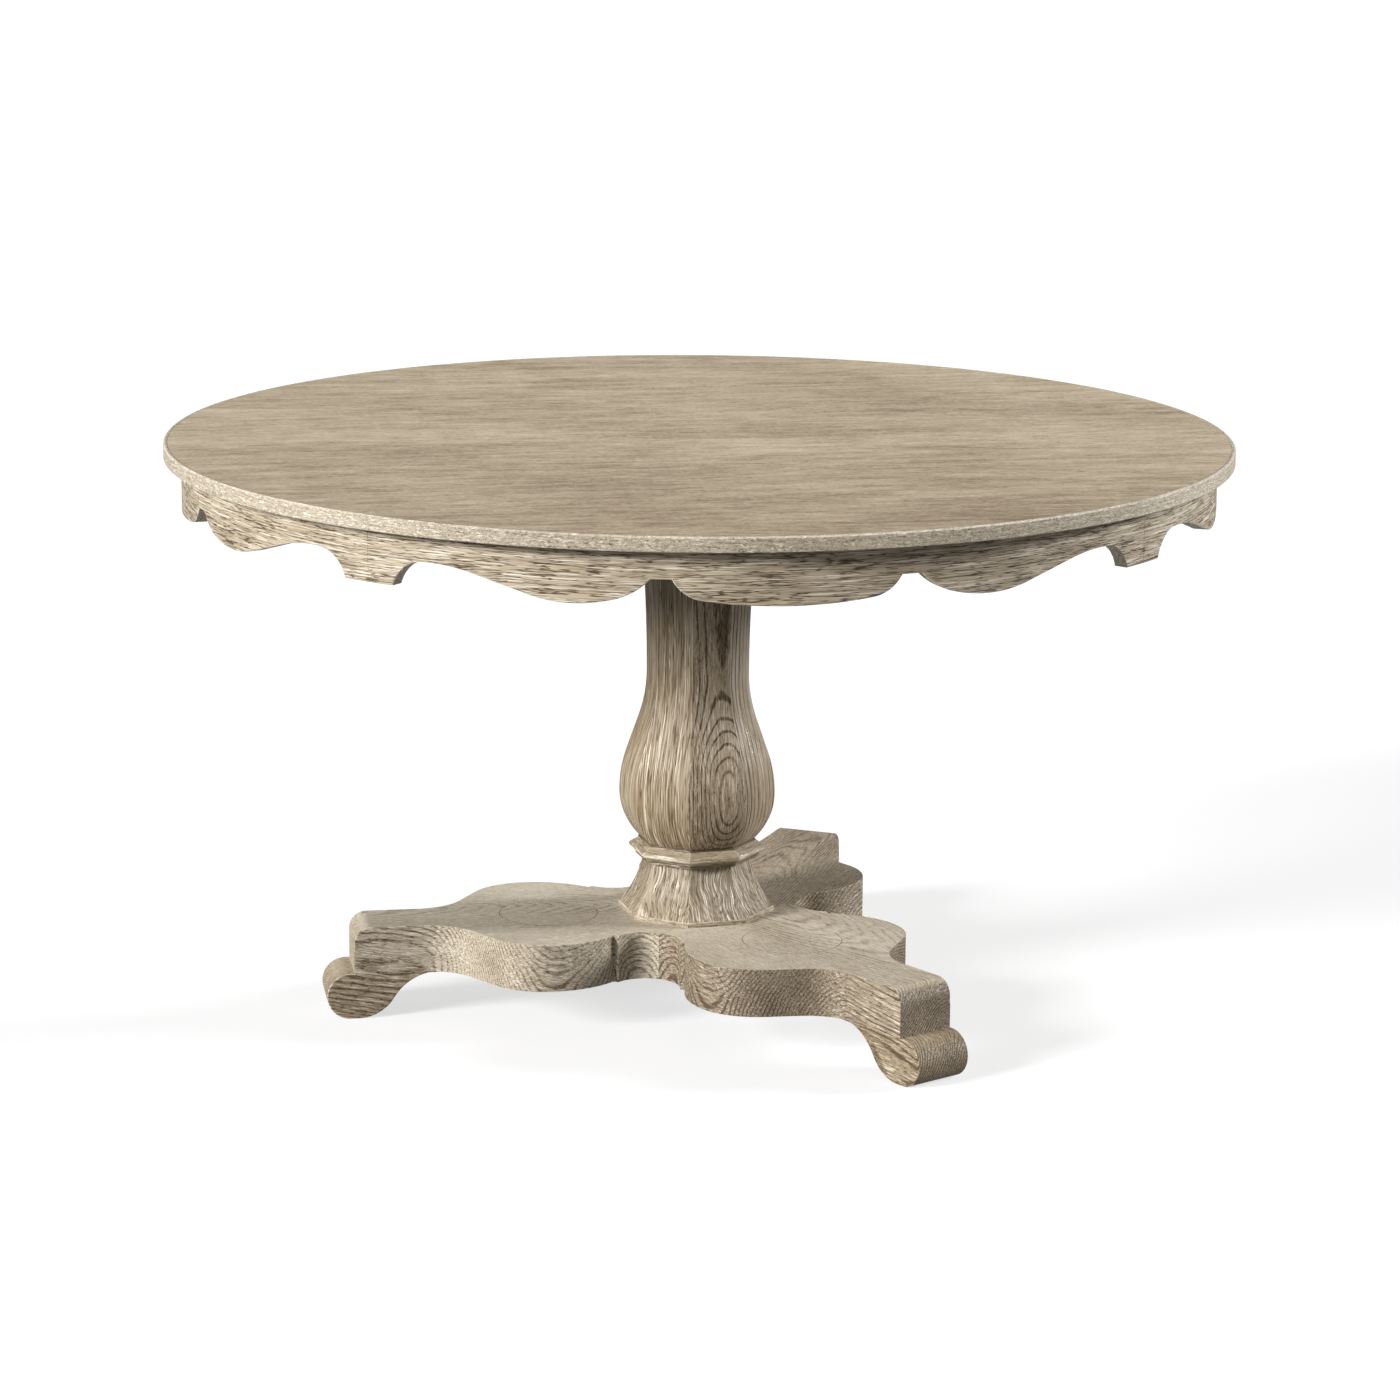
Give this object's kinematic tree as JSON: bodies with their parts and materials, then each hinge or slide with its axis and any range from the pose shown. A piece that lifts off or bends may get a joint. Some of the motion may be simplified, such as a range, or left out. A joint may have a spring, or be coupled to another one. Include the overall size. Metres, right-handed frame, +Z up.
{
  "type": "round pedestal table",
  "caption": "Round dining table with a scalloped apron on an eight-sided baluster column and a three-legged scroll-footed base; things are set on its flat top.",
  "frame": {"origin": "on the floor, on the axis of the column and of the round top", "axes": "+Z up; leg 1 points along -X and the grain of the top runs along X"},
  "size_m": [1.3718, 1.3718, 0.7513],
  "materials": {
    "top_veneer": "satin, limed oak veneer with soft cross streaks",
    "backing_veneer": "raw, thin balancing veneer",
    "core_board": "raw board core",
    "edge_lipping": "satin, limed oak",
    "apron_oak": "satin, limed and wire-brushed oak",
    "column_oak": "satin, limed and wire-brushed oak",
    "collar_oak": "satin, limed oak",
    "plinth_oak": "satin, limed and wire-brushed oak",
    "leg_oak": "satin, limed and wire-brushed oak",
    "plug_oak": "satin, limed oak, flush",
    "frame_wood": "raw, planed",
    "zinc_steel": "zinc plated",
    "black_steel": "matt powder coat",
    "brass": "machined"
  },
  "bodies": {
    "root": {"apron_joint_blocks": "frame_wood", "apron_quarter_1": "apron_oak", "apron_quarter_2": "apron_oak", "apron_quarter_3": "apron_oak", "apron_quarter_4": "apron_oak", "base_plate": "black_steel", "base_plate_screws": "zinc_steel", "bearer_screws": "zinc_steel", "collar_mouldings": "collar_oak", "column_bottom_block": "frame_wood", "column_stave_1": "column_oak", "column_stave_2": "column_oak", "column_stave_3": "column_oak", "column_stave_4": "column_oak", "column_stave_5": "column_oak", "column_stave_6": "column_oak", "column_stave_7": "column_oak", "column_stave_8": "column_oak", "column_top_block": "frame_wood", "foot_dowels": "frame_wood", "head_bolt_washers": "zinc_steel", "head_bolts": "zinc_steel", "head_plate": "frame_wood", "leg_1_foot": "leg_oak", "leg_1_lower_board": "leg_oak", "leg_1_round_plug": "plug_oak", "leg_1_upper_board": "leg_oak", "leg_2_foot": "leg_oak", "leg_2_lower_board": "leg_oak", "leg_2_round_plug": "plug_oak", "leg_2_upper_board": "leg_oak", "leg_3_foot": "leg_oak", "leg_3_lower_board": "leg_oak", "leg_3_round_plug": "plug_oak", "leg_3_upper_board": "leg_oak", "leg_tongues": "frame_wood", "plinth_core_block": "frame_wood", "plinth_fillet_strips": "plinth_oak", "plinth_stave_1": "plinth_oak", "plinth_stave_2": "plinth_oak", "plinth_stave_3": "plinth_oak", "plinth_stave_4": "plinth_oak", "plinth_stave_5": "plinth_oak", "plinth_stave_6": "plinth_oak", "plinth_stave_7": "plinth_oak", "plinth_stave_8": "plinth_oak", "threaded_inserts": "brass", "tie_rod": "zinc_steel", "tie_rod_nuts": "zinc_steel", "tie_rod_washers": "zinc_steel", "top_backing_veneer": "backing_veneer", "top_bearer_1": "frame_wood", "top_bearer_2": "frame_wood", "top_core_board": "core_board", "top_edge_lipping_1": "edge_lipping", "top_edge_lipping_2": "edge_lipping", "top_edge_lipping_3": "edge_lipping", "top_edge_lipping_4": "edge_lipping", "top_face_veneer": "top_veneer"}
  },
  "joints": []
}
